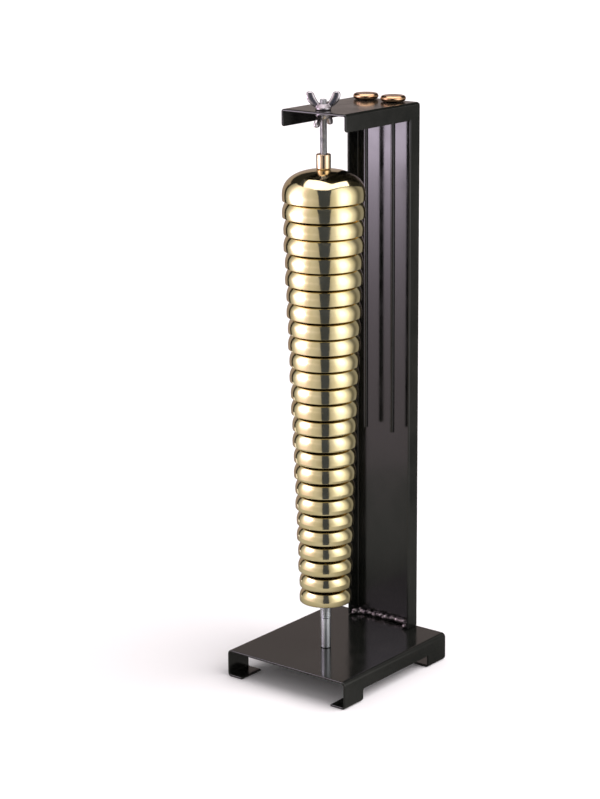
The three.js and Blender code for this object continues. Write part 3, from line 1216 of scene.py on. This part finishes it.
@dataclass
class WingNut:
    """A cast wing nut: a coned boss and two broad, blunt ears."""

    node: str
    turn: float
    height: float
    upside_down: bool
    foot: float = 6.8
    foot_height: float = 1.6
    foot_round: float = 0.4
    step_round: float = 0.5
    neck: float = 4.9
    neck_round: float = 0.8
    boss_height: float = 4.9
    voxel: float = 0.25
    full_height: float = 15.6
    tip_inset: float = 0.15
    squareness: float = 0.75
    around: int = 24
    # Points along the middle of a full-size ear: reach, rise, half width, half thickness
    ear: tuple[tuple[float, float, float, float], ...] = (
        (3.6, 2.9, 1.9, 2.2), (5.4, 4.0, 2.5, 2.2), (7.5, 5.9, 3.1, 2.2), (9.4, 8.3, 3.5, 2.15),
        (10.6, 10.8, 3.6, 2.1), (11.1, 12.8, 3.4, 2.0), (11.2, 14.2, 2.8, 1.8), (11.2, 14.9, 1.9, 1.4),
    )

    def ear_body(self, side: int) -> Piece:
        """One ear, swept through squarish sections from the boss to its rounded tip.

        Args:
            side: -1 for the left ear and 1 for the right one.

        Returns:
            The ear, with the nut's foot at the origin.
        """
        around, power = self.around, self.squareness
        squash = self.height / self.full_height
        points: list[tuple[float, float, float]] = []
        last = len(self.ear) - 1
        for i, (reach, rise, wide, thick) in enumerate(self.ear):
            before, after = self.ear[max(0, i - 1)], self.ear[min(last, i + 1)]
            along = Vector((after[0] - before[0], after[1] - before[1])).normalized()
            across = Vector((along.y, -along.x))
            for k in range(around):
                angle = math.tau * k / around
                cosine, sine = math.cos(angle), math.sin(angle)
                out = across * wide * math.copysign(abs(cosine) ** power, cosine)
                deep = thick * math.copysign(abs(sine) ** power, sine)
                points.append((side * (reach + out.x), deep, (rise + out.y) * squash))
        root, tip = self.ear[0], self.ear[last]
        points.append((side * root[0], 0.0, root[1] * squash))
        points.append((side * tip[0], 0.0, (self.full_height - self.tip_inset) * squash))
        faces = []
        for k in range(around):
            after_k = (k + 1) % around
            faces.append((len(points) - 2, after_k, k))
            for i in range(last):
                base = i * around
                faces.append((base + k, base + after_k, base + around + after_k, base + around + k))
            faces.append((last * around + k, last * around + after_k, len(points) - 1))
        return make_piece("ear", points, faces)

    def build(self) -> Iterator[Piece]:
        """Cast the nut, then bore it and set it in place.

        Returns:
            The finished nut.
        """
        boss = turned("boss", fillet_outline([
            [0.0, 0.0, 0], [self.foot, 0.0, self.foot_round], [self.foot, self.foot_height, self.step_round],
            [self.neck, self.boss_height, self.neck_round], [0.0, self.boss_height, 0],
        ], steps=4), (0.0, 0.0), segments=64)
        body = gather(f"{self.node}_cast", [boss, self.ear_body(-1), self.ear_body(1)])
        fuse(body, self.voxel, rounds=5)
        below, above = -1.0, 9.0
        hole = [(0.0, below), (SPINDLE_BORE, below), (SPINDLE_BORE, above), (0.0, above)]
        combine(body, turned("bore", hole, (0.0, 0.0), segments=48), Join.CUT)
        low, high = cad_box(self.node)
        x, y = spindle_axis()
        seat = high.z if self.upside_down else low.z
        turn = Matrix.Rotation(math.radians(self.turn), 4, "Z")
        place = Matrix.Translation(Vector((x, y, seat)) * MM) @ turn
        if self.upside_down:
            place = place @ Matrix.Rotation(math.pi, 4, "X")
        body.data.transform(place)
        shade(body, sharp_degrees=50.0)
        yield dress_piece(body, self.node, "bright_nickel", [CAST_NICKEL], self.node)


@dataclass
class Striker:
    """A brass button head on a thin black rod, hung in the arm's hole."""

    side: str
    dish_depth: float = 0.35
    bore: float = 2.3
    bore_depth: float = 3.0
    edge_steps: int = 14
    dish_steps: int = 6
    lower_round: float = 0.5
    upper_round: float = 0.2

    def build(self) -> Iterator[Piece]:
        """Turn the head and draw the rod.

        Returns:
            The finished head and rod.
        """
        head_node, rod_node = f"striker_head_{self.side}", f"striker_rod_{self.side}"
        low, high = cad_box(head_node)
        radius, round_edge = (high.x - low.x) / 2, (high.z - low.z) / 2
        middle = low.z + round_edge
        profile = [(0.0, low.z + self.bore_depth), (self.bore, low.z + self.bore_depth), (self.bore, low.z)]
        for k in range(self.edge_steps + 1):
            angle = math.pi * (k / self.edge_steps - 0.5)
            inward = round_edge * (1 - math.cos(angle))
            profile.append((radius - inward, middle + round_edge * math.sin(angle)))
        flat = radius - round_edge
        for k in range(1, self.dish_steps + 1):
            share = k / self.dish_steps
            drop = self.dish_depth * math.sin(share * math.pi / 2) ** 2
            profile.append((max(flat - flat * share, 0.0), high.z - drop))
        centre = box_axis(rod_node)
        head = turned(f"{head_node}_turned", profile, centre, segments=80)
        shade(head, sharp_degrees=50.0)
        body = f"striker_{self.side}"
        yield dress_piece(head, body, "polished_brass", [HEAD_BRASS], head_node)
        low, high = cad_box(rod_node)
        thick = (high.x - low.x) / 2
        curve = fillet_outline([
            [0.0, low.z, 0], [thick, low.z, self.lower_round],
            [thick, high.z, self.upper_round], [0.0, high.z, 0],
        ], steps=4)
        rod = turned(f"{rod_node}_drawn", curve, centre, segments=32)
        shade(rod, sharp_degrees=50.0)
        yield dress_piece(rod, body, "black_oxide_steel", [BLACK_ROD], rod_node)


# Camera and studio


@dataclass(frozen=True)
class PhotoCamera:
    """The photograph's camera, solved from the base, the upright, the arm and the bells' rims."""

    place: tuple[float, float, float] = (1128.12, -1468.83, 739.24)
    yaw: float = 38.51
    pitch: float = -14.86
    roll: float = -0.45
    focal_pixels: float = 2214.35

    def build(self) -> None:
        """Set the scene's camera."""
        yaw, pitch, roll = (math.radians(v) for v in (self.yaw, self.pitch, self.roll))
        forward = Vector((-math.sin(yaw) * math.cos(pitch), math.cos(yaw) * math.cos(pitch), math.sin(pitch)))
        level = forward.cross(Vector((0, 0, 1))).normalized()
        above = level.cross(forward)
        right = level * math.cos(roll) + above * math.sin(roll)
        up = above * math.cos(roll) - level * math.sin(roll)
        lens = bpy.data.cameras.new("photo_camera")
        lens.sensor_fit = "VERTICAL"
        lens.sensor_height = SENSOR
        lens.lens = self.focal_pixels / PIXELS_HIGH * SENSOR
        lens.clip_start = 0.05
        lens.clip_end = 50.0
        camera = link_object("photo_camera", lens)
        turn = Matrix((right, up, -forward)).transposed().to_4x4()
        camera.matrix_world = Matrix.Translation(Vector(self.place) * MM) @ turn
        bpy.context.scene.camera = camera


@dataclass(frozen=True)
class Glow:
    """Light thrown by a card: a tint, and its strength along the card and across it.

    The stops along are pairs of azimuth and strength. Those across are pairs of height and
    strength on a wall, and of radius and strength on a ring.
    """

    tint: Colour
    along: Stops
    across: Stops


@dataclass
class Card:
    """A screen round the object that only its reflections show: an upright wall or a flat ring.

    Its foot and its head are pairs of radius and height. A skyline lowers the head of a wall,
    as pairs of azimuth and height, and a flare widens it towards the head by as many degrees
    at either side.
    """

    name: str
    start: float
    end: float
    foot: tuple[float, float]
    head: tuple[float, float]
    glows: tuple[Glow, ...]
    skyline: Stops = ()
    flare: float = 0.0
    steps: int = 72

    def reach(self) -> tuple[float, float]:
        """What a glow's across runs over: heights on a wall, radii on a ring."""
        upright = self.foot[1] != self.head[1]
        return (self.foot[1], self.head[1]) if upright else (self.foot[0], self.head[0])

    def rise(self, azimuth: float) -> float:
        """How far up the card reaches.

        Args:
            azimuth: Where, in degrees.

        Returns:
            The height as a share of the card's full height.
        """
        for (one, low), (other, high) in zip(self.skyline, self.skyline[1:]):
            if one <= azimuth <= other:
                top = low + (high - low) * (azimuth - one) / (other - one)
                return (top - self.foot[1]) / (self.head[1] - self.foot[1])
        return 1.0

    def screen(self) -> Piece:
        """Bend the card round the object.

        Returns:
            The card, with U along its azimuth and V from foot to head.
        """
        points, places = [], []
        for k in range(self.steps + 1):
            share = k / self.steps
            for up in (0.0, self.rise(self.start + (self.end - self.start) * share)):
                widen = self.flare * up
                angle = math.radians(self.start - widen + (self.end - self.start + 2 * widen) * share)
                radius = self.foot[0] + (self.head[0] - self.foot[0]) * up
                height = self.foot[1] + (self.head[1] - self.foot[1]) * up
                points.append(Vector((radius * math.sin(angle), -radius * math.cos(angle), height)) * MM)
                places.append((share, up))
        mesh = bpy.data.meshes.new(self.name)
        mesh.from_pydata(points, [], [(2 * k, 2 * k + 2, 2 * k + 3, 2 * k + 1) for k in range(self.steps)])
        layer = mesh.uv_layers.new(name="card")
        for loop in mesh.loops:
            layer.data[loop.index].uv = places[loop.vertex_index]
        return link_object(self.name, mesh)

    def share(self, tree: bpy.types.NodeTree, coordinate: bpy.types.NodeSocket,
              stops: Stops, start: float, end: float, peak: float) -> bpy.types.NodeSocket:
        """A soft ramp over one direction of the card.

        Args:
            tree: The card's nodes.
            coordinate: From 0 to 1 in that direction.
            stops: Pairs of place and strength.
            start: Place at which the coordinate is 0.
            end: Place at which it is 1.
            peak: Strength at which the ramp is 1.

        Returns:
            The ramp's value.
        """
        ramp = add_node(tree, "ShaderNodeValToRGB", inputs={0: coordinate})
        shares = [((place - start) / (end - start), value / peak) for place, value in stops]
        set_ramp(ramp, shares)
        return ramp.outputs[0]

    def build(self) -> Piece:
        """Make the screen and its light.

        Returns:
            The finished card.
        """
        card = self.screen()
        glow = bpy.data.materials.new(self.name)
        tree = fresh_tree(glow)
        spots = add_node(tree, "ShaderNodeTexCoord").outputs["UV"]
        place = add_node(tree, "ShaderNodeSeparateXYZ", inputs={0: spots})
        low, high = self.reach()
        total = None
        for part in self.glows:
            peak = max(value for _, value in part.along)
            tall = max(value for _, value in part.across)
            along = self.share(tree, place.outputs[0], part.along, self.start, self.end, peak)
            across = self.share(tree, place.outputs[1], part.across, low, high, tall)
            both = add_node(tree, "ShaderNodeMath", {"operation": "MULTIPLY"}, {0: along, 1: across})
            power = add_node(tree, "ShaderNodeMath", {"operation": "MULTIPLY"}, {
                0: both.outputs[0], 1: peak * tall,
            })
            light = add_node(tree, "ShaderNodeEmission", inputs={
                "Color": part.tint, "Strength": power.outputs[0],
            }).outputs[0]
            if total is None:
                total = light
            else:
                total = add_node(tree, "ShaderNodeAddShader", inputs={0: total, 1: light}).outputs[0]
        add_node(tree, "ShaderNodeOutputMaterial", inputs={"Surface": total})
        card.data.materials.append(glow)
        only_in_reflections(card)
        return card


@dataclass
class Lid:
    """A level screen above the object that only its reflections show."""

    name: str
    height: float
    low: tuple[float, float]
    high: tuple[float, float]
    tint: Colour
    power: float

    def build(self) -> Piece:
        """Make the screen and its light.

        Returns:
            The finished lid.
        """
        lid = level_sheet(self.name, self.low, self.high, self.height)
        glow = bpy.data.materials.new(self.name)
        tree = fresh_tree(glow)
        light = add_node(tree, "ShaderNodeEmission", inputs={"Color": self.tint, "Strength": self.power})
        add_node(tree, "ShaderNodeOutputMaterial", inputs={"Surface": light.outputs[0]})
        lid.data.materials.append(glow)
        only_in_reflections(lid)
        return lid


def only_in_reflections(thing: Piece) -> None:
    """Hide a thing from all rays but glossy ones.

    Args:
        thing: A screen.
    """
    thing.visible_camera = False
    thing.visible_diffuse = False
    thing.visible_shadow = False
    thing.visible_transmission = False
    thing.visible_volume_scatter = False


@dataclass
class Studio:
    """White floor and surroundings, a soft light and the screens that the metal mirrors."""

    floor_reach: float = 12000.0
    floor_colour: Colour = (0.98, 0.93, 0.95, 1.0)
    wall_radius: float = 500.0
    near_radius: float = 300.0
    night_radius: float = 900.0
    night_height: float = 1500.0
    ceiling_height: float = 1150.0
    sky: float = 0.7
    sun: float = 2.2
    sun_spread: float = 60.0
    sun_azimuth: float = 110.0
    sun_elevation: float = 52.0

    def floor(self) -> Piece:
        """A white floor that keeps the soft purple-grey shadow under the feet.

        Returns:
            The floor.
        """
        reach = self.floor_reach
        floor = level_sheet("floor", (-reach, -reach), (reach, reach), 0.0)
        material = bpy.data.materials.new("white_floor")
        tree = fresh_tree(material)
        lit = add_node(tree, "ShaderNodeBsdfDiffuse", inputs={"Color": self.floor_colour})
        add_node(tree, "ShaderNodeOutputMaterial", inputs={"Surface": lit.outputs[0]})
        floor.data.materials.append(material)
        return floor

    def surroundings(self) -> None:
        """White where it is seen or mirrored, a little less where it lights the object."""
        world = bpy.data.worlds.new("studio")
        bpy.context.scene.world = world
        tree = fresh_tree(world)
        path = add_node(tree, "ShaderNodeLightPath")
        seen = add_node(tree, "ShaderNodeMath", {"operation": "MAXIMUM"}, {
            0: path.outputs["Is Camera Ray"], 1: path.outputs["Is Glossy Ray"],
        })
        seen = add_node(tree, "ShaderNodeMath", {"operation": "MAXIMUM"}, {
            0: seen.outputs[0], 1: path.outputs["Is Transmission Ray"],
        })
        power = add_node(tree, "ShaderNodeMapRange", inputs={
            "Value": seen.outputs[0], "To Min": self.sky, "To Max": 1.0,
        })
        sky = add_node(tree, "ShaderNodeBackground", inputs={
            "Color": (1.0, 1.0, 1.0, 1.0), "Strength": power.outputs[0],
        })
        add_node(tree, "ShaderNodeOutputWorld", inputs={"Surface": sky.outputs[0]})

    def soft_light(self) -> None:
        """A very soft light from the right that fills the floor up to white and casts the shadow."""
        light = bpy.data.lights.new("soft_light", "SUN")
        light.energy = self.sun
        light.angle = math.radians(self.sun_spread)
        azimuth, rise = math.radians(self.sun_azimuth), math.radians(self.sun_elevation)
        level = math.cos(rise)
        towards = Vector((math.sin(azimuth) * level, -math.cos(azimuth) * level, math.sin(rise)))
        lamp = link_object("soft_light", light)
        lamp.rotation_euler = towards.to_track_quat("Z", "Y").to_euler()
        lamp.visible_glossy = False

    def screens(self) -> Iterator[Card]:
        """The screens round the object, as the bells and the upright mirror them.

        Returns:
            The screens, still to be built.
        """
        warm = (1.0, 0.97, 0.9, 1.0)
        wall, near, top = self.wall_radius, self.near_radius, self.ceiling_height
        even = ((0.0, 1.0), (top, 1.0))
        daylight = Glow(warm, (
            (-83.0, 0.36), (-72.0, 0.5), (-61.0, 0.5), (-52.0, 0.0), (-25.0, 0.0), (-14.5, 0.42),
            (-4.5, 0.66), (4.5, 0.56), (14.5, 0.49), (24.0, 0.36), (30.0, 0.3), (45.0, 0.25),
            (51.5, 0.35), (60.5, 0.7), (70.5, 0.85), (79.5, 0.9), (89.5, 0.95), (100.5, 1.0),
            (111.5, 1.0), (122.0, 0.85), (130.0, 0.55), (137.0, 0.27), (143.0, 0.13), (149.0, 0.16),
            (157.0, 0.3), (175.0, 0.32)), even)
        right_window = Glow((0.98, 1.0, 1.12, 1.0), (
            (64.0, 0.0), (70.5, 0.2), (79.5, 1.2), (89.5, 2.0), (100.5, 1.7), (111.5, 0.6), (122.0, 0.0)), (
            (0.0, 0.15), (150.0, 0.25), (330.0, 0.8), (450.0, 1.0), (600.0, 0.75), (750.0, 0.4),
            (950.0, 0.15), (top, 0.0)))
        left_window = Glow((1.0, 0.84, 0.86, 1.0), (
            (-74.0, 0.0), (-61.0, 0.4), (-52.0, 1.1), (-28.0, 1.1), (-14.5, 0.5), (-4.5, 0.0)), even)
        # The upright's web mirrors this one: bright purple at its top, fading to black at its foot
        purple_window = Glow((1.0, 0.87, 1.07, 1.0), (
            (-66.0, 0.0), (-57.0, 0.4), (-49.0, 1.0), (-27.0, 1.0), (-20.5, 0.25), (-16.5, 0.1),
            (-4.0, 0.0)), (
            (0.0, 0.0), (91.0, 0.15), (127.0, 0.35), (163.0, 0.5), (200.0, 0.8), (236.0, 1.25),
            (272.0, 2.1), (308.0, 3.2), (344.0, 4.4), (381.0, 9.5), (410.0, 9.0), (440.0, 5.5),
            (480.0, 3.4), (530.0, 2.2), (600.0, 1.5), (750.0, 0.9), (950.0, 0.4), (top, 0.0)))
        # The wall's wavy head shapes the bright patch on the dome of the top bell
        skyline = (
            (-83.0, 850.0), (-45.0, 980.0), (-14.0, 1050.0), (0.0, 1000.0), (20.0, 880.0), (37.0, 845.0),
            (55.0, 880.0), (80.0, 1000.0), (107.0, 1000.0), (135.0, 850.0), (150.0, 700.0), (175.0, 500.0))
        glows = (daylight, right_window, left_window, purple_window)
        yield Card("front_wall", -83.0, 175.0, (wall, 0.0), (wall, top), glows, skyline)
        # The dark stripe down the middle of the bells, wider at its top
        dark = (Glow((0.85, 1.0, 1.45, 1.0), ((25.5, 0.065), (49.5, 0.065)), ((0.0, 1.0), (900.0, 1.0))),)
        yield Card("flag", 25.5, 49.5, (near, 0.0), (near, 250.0), dark)
        yield Card("flag_neck", 25.5, 49.5, (near, 250.0), (near, 500.0), dark, flare=3.0)
        yield Card("flag_head", 22.5, 52.5, (near, 500.0), (near, 735.0), dark, flare=9.0)
        beige = (Glow((1.0, 0.83, 0.78, 1.0), ((188.0, 1.0), (270.0, 1.0)), (
            (0.0, 0.3), (100.0, 0.38), (450.0, 0.38), (576.0, 0.38))),)
        yield Card("back_wall", 188.0, 270.0, (near, 0.0), (near, 576.0), beige)
        # The floor as the metal mirrors it, with a painted shadow: darker near the object and towards the
        # back
        sheen = (Glow(warm, (
            (-180.0, 0.3), (-98.0, 0.35), (-60.0, 0.62), (60.0, 0.62), (95.0, 0.45), (120.0, 0.25),
            (180.0, 0.25)), ((20.0, 0.3), (90.0, 0.4), (160.0, 0.7), (250.0, 1.0), (wall, 1.0))),)
        yield Card("floor_reflection_painted_shadow", -180.0, 180.0, (20.0, 0.5), (wall, 0.5), sheen)
        far, high = self.night_radius, self.night_height
        night = (Glow(warm, ((-180.0, 1.0), (180.0, 1.0)), ((0.0, 0.01), (high, 0.03))),)
        yield Card("night", -180.0, 180.0, (far, 0.0), (far, high), night)

    def lids(self) -> Iterator[Lid]:
        """The ceiling, and the darkness above it.

        Returns:
            The lids, still to be built.
        """
        white, blue = (1.0, 0.96, 0.97, 1.0), (0.75, 0.8, 1.0, 1.0)
        yield Lid("ceiling", self.ceiling_height, (-429.0, -643.0), (540.0, 598.0), white, power=2.4)
        far = self.night_radius
        yield Lid("night_lid", self.night_height, (-far, -far), (far, far), blue, power=0.06)

    def build(self) -> None:
        """Set up the whole studio."""
        bpy.context.scene.view_settings.view_transform = "Standard"
        self.surroundings()
        self.soft_light()
        self.floor()
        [part.build() for part in (*self.screens(), *self.lids())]


def main() -> None:
    """Build the bell tree and its studio, and log each piece."""
    logging.basicConfig(level=logging.INFO, format="%(message)s")
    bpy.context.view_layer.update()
    PhotoCamera().build()
    parts = [
        FoldedBase(), ChannelUpright(), WeldSeam(), BellStack(), SpindleSet(),
        WingNut("wing_nut_upper", turn=38.0, height=15.6, upside_down=False),
        WingNut("wing_nut_lower", turn=98.0, height=11.4, upside_down=True),
        Striker("left"), Striker("right"),
    ]
    for part in parts:
        for piece in part.build():
            LOG.info("%s: %s", type(part).__name__, piece.name)
    Studio().build()


if __name__ == "__main__":
    main()
